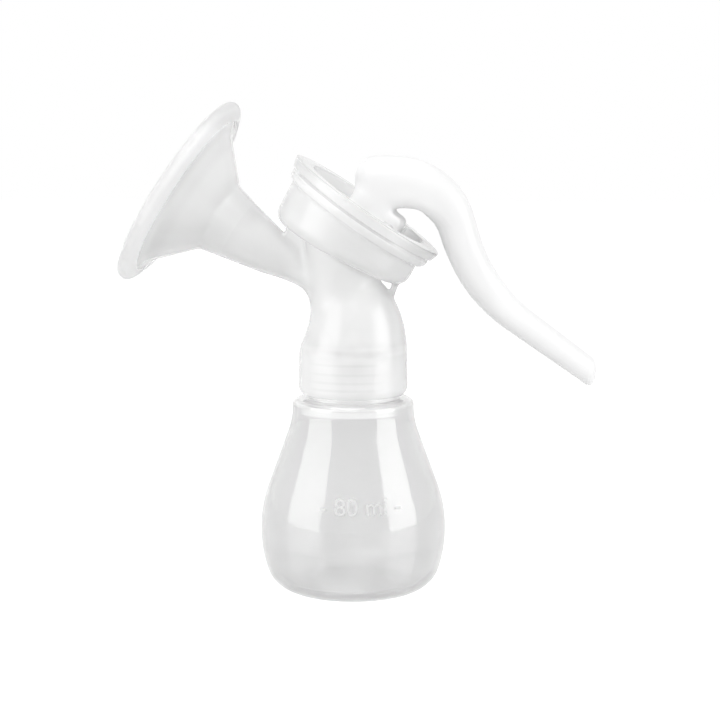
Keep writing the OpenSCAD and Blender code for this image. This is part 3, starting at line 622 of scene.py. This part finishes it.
# %% Neck thread
PITCH, TURNS, RIDGE, RIDGE_OUT, FIRST_TURN = 3.2, 3, 0.7, 0.2, 1.5
RIDGE_SIDES, TURN_STEPS = 10, 96
bpy.ops.object.select_all(action="DESELECT")
bpy.ops.mesh.primitive_circle_add(vertices=RIDGE_SIDES, radius=RIDGE * MM, rotation=(pi / 2, 0, 0))
thread = bpy.context.object
thread.name = "neck_thread"
thread.location = ((NECK_R + RIDGE_OUT) * MM, 0, (shoulder_z + FIRST_TURN) * MM)
settle(thread)
use(thread, "SCREW", axis="Z", screw_offset=PITCH * MM, angle=2 * pi, iterations=TURNS,
    steps=TURN_STEPS, render_steps=TURN_STEPS)
bpy.ops.object.mode_set(mode="EDIT")
bpy.ops.mesh.select_all(action="SELECT")
bpy.ops.mesh.fill_holes(sides=0)
bpy.ops.mesh.select_all(action="SELECT")
bpy.ops.mesh.normals_make_consistent(inside=False)
bpy.ops.object.mode_set(mode="OBJECT")
bpy.ops.object.shade_smooth_by_angle(angle=SMOOTH_ANGLE)
dress(thread, bottle_plastic, "bottle_plastic", "bottle")

# %% [markdown]
# A filling mark is raised on the front of the belly, so low that it hardly shows. It starts as flat
# text, becomes a mesh, is laid on the wall with Shrinkwrap and gets its small height with Solidify.

# %% Filling mark
MARK_SIZE, MARK_Z, MARK_AWAY, MARK_SUNK, MARK_RISE, MARK_TURN = 8.5, 34, 60, 0.05, 0.1, 12
bpy.ops.object.select_all(action="DESELECT")
bpy.ops.object.text_add(rotation=(pi / 2, 0, 0))
mark = bpy.context.object
mark.name = "filling_mark"
mark.data.body = "- 80 ml -"
mark.data.size = MARK_SIZE * MM
mark.data.align_x = "CENTER"
bpy.ops.object.convert(target="MESH")
mark.location = (0, -MARK_AWAY * MM, MARK_Z * MM)
settle(mark)
use(mark, "SHRINKWRAP", target=bottle, wrap_method="PROJECT", use_project_y=True, offset=-MARK_SUNK * MM)
use(mark, "SOLIDIFY", thickness=MARK_RISE * MM, offset=1)
mark.rotation_euler = (0, 0, radians(MARK_TURN))
settle(mark)
dress(mark, mark_plastic, "bottle_plastic", "bottle")

# %% [markdown]
# A moulded or soft piece has no sharp edge. A copy of its solid is joined up, rebuilt on a fine even grid and
# smoothed, which rounds every edge a little. Where the real piece flows on without a line, a second, stronger
# smoothing works inside a box only.

# %% Softening helpers
JOIN, SMOOTH_STEP = 2e-6, 0.5


def softened(name, node, voxel, passes):
    """A copy of a solid, rebuilt on an even grid and smoothed, so that its edges turn round."""
    piece = frame["nodes"][node].copy()
    piece.data = piece.data.copy()
    piece.name = name
    piece.parent = None
    for key in list(piece.keys()):
        del piece[key]
    scene.collection.objects.link(piece)
    use(piece, "WELD", merge_threshold=JOIN)
    use(piece, "REMESH", mode="VOXEL", voxel_size=voxel * MM)
    use(piece, "SMOOTH", factor=SMOOTH_STEP, iterations=passes)
    bpy.ops.object.shade_smooth()
    return piece


def flowed(piece, low, high, fade, passes):
    """Smooths a piece strongly inside a box, with less and less towards the box's sides."""
    soft = piece.vertex_groups.new(name="soft")
    for vert in piece.data.vertices:
        room = [min(c / MM - a, b - c / MM) for c, a, b in zip(vert.co, low, high)]
        if min(room) > 0:
            soft.add([vert.index], min(1, min(room) / fade), "REPLACE")
    use(piece, "SMOOTH", factor=SMOOTH_STEP, iterations=passes, vertex_group="soft")
    piece.vertex_groups.clear()


# %% [markdown]
# The pump's body is one moulding whose skirt, dome, throat, horn and bowl flow into each other. The first box
# holds the throat, where horn, dome and bowl meet, and the second the bend between dome and skirt.

# %% Pump body
body = softened("pump_shell", "pump_body", voxel=0.73, passes=8)
flowed(body, (-34, -40, 96), (11, 40, 127), fade=6, passes=160)
flowed(body, (-34, -40, 80), (40, 40, 98), fade=5, passes=60)
dress(body, body_plastic, "body_plastic", "pump", "pump_body")

# %% [markdown]
# The cap ring is a clamp with two saddles for the hinge pin. A finer grid keeps its small steps.

# %% Cap ring
cap = softened("clamp_ring", "cap_ring", voxel=0.4, passes=12)
dress(cap, cap_plastic, "body_plastic", "pump", "cap_ring")

# %% [markdown]
# The handle is a white lever, round on top and hollow with ribs below. Its foot and its elbow run into the arm
# without a line, so both get the stronger smoothing.

# %% Handle
handle = softened("squeeze_handle", "handle", voxel=0.5, passes=8)
flowed(handle, (-12, -20, 132), (16, 20, 154), fade=4, passes=120)
flowed(handle, (8, -20, 128), (27, 20, 146), fade=3, passes=120)
print(handle.name, len(handle.data.vertices), "points")

# %% [markdown]
# The side of the handle that faces the bottle gets painted shade, a little greyer than its top. Each vertex
# stores how far it faces inwards, in an attribute that the finish reads, so the painted shade stays on that
# side when the handle moves. It sets in past the foot. A faint band of painted shade also lies across the arm.

# %% Handle's finish, with painted shade
FLANK_PAINTED_SHADE, FLANK_LOW, FLANK_HIGH, FOOT_END, FOOT_FADE = 0.895, -0.1, 0.4, 24, 10
inside = Vector((15, 0, 100)) * MM
flank = handle.data.attributes.new("flank", "FLOAT", "POINT")
for vert in handle.data.vertices:
    inward = inside - vert.co
    inward.y = 0
    facing = vert.normal.dot(inward.normalized())
    past_foot = min(1, max(0, (vert.co.x / MM - FOOT_END) / FOOT_FADE))
    flank.data[vert.index].value = facing * past_foot + FLANK_LOW * (1 - past_foot)
# a copy of the white finish that carries the handle's painted shade
shaded_handle_plastic = white_plastic.copy()
shaded_handle_plastic.name = "shaded_handle_plastic"
nodes, links = shaded_handle_plastic.node_tree.nodes, shaded_handle_plastic.node_tree.links
stored = nodes.new("ShaderNodeAttribute")
stored.attribute_name = flank.name
grading = nodes.new("ShaderNodeMapRange")
grading.interpolation_type = "SMOOTHSTEP"
grading.inputs["From Min"].default_value = FLANK_LOW
grading.inputs["From Max"].default_value = FLANK_HIGH
links.new(stored.outputs["Fac"], grading.inputs["Value"])
paint_light_and_shade(shaded_handle_plastic, FLANK_PAINTED_SHADE, grading.outputs[0])
# painted shade: a faint darker band across the handle's arm
painted_light_shade_zone(shaded_handle_plastic, 0.96, (SIDEWAYS, 41, 7, 8))
dress(handle, shaded_handle_plastic, "white_plastic", "lever", "handle")

# %% [markdown]
# The liner is a soft funnel that lines the horn and rolls round its rim.

# %% Funnel liner
liner = softened("soft_liner", "funnel_liner", voxel=0.5, passes=14)
dress(liner, silicone, "silicone", "pump", "funnel_liner")

# %% [markdown]
# Two soft pieces sit out of sight: the washer on the bottle's mouth, turned with round edges, and the duckbill
# valve on the milk outlet, whose two lips part when milk drops and close when the cup pulls.

# %% Seal and valve
SEAL_IN, SEAL_OUT, SEAL_T, SEAL_ROUND, SEAL_STEPS = 15.6, 17.9, 1.5, 0.4, 96
corners = [(SEAL_IN, lip_z), (SEAL_OUT, lip_z), (SEAL_OUT, lip_z + SEAL_T), (SEAL_IN, lip_z + SEAL_T)]
seal = turned("neck_washer", eased(corners, [SEAL_ROUND] * 4), SEAL_STEPS)
dress(seal, silicone, "silicone", "neck_seal", "bottle_seal")
valve = softened("soft_valve", "duckbill_valve", voxel=0.25, passes=2)
dress(valve, silicone, "silicone", "pump", "duckbill_valve")

# %% [markdown]
# The diaphragm is a thin soft cup. Its rim stays with the bowl and its middle follows the stem. Its piece gets
# the silicone, and its solid is hidden.

# %% Diaphragm
cup = softened("diaphragm_cup", "diaphragm", voxel=0.35, passes=3)
cup.data.materials.clear()
cup.data.materials.append(silicone)


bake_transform(cup)
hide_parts("diaphragm")
print(cup.name, len(cup.data.polygons), "faces, blended from pump to stem")
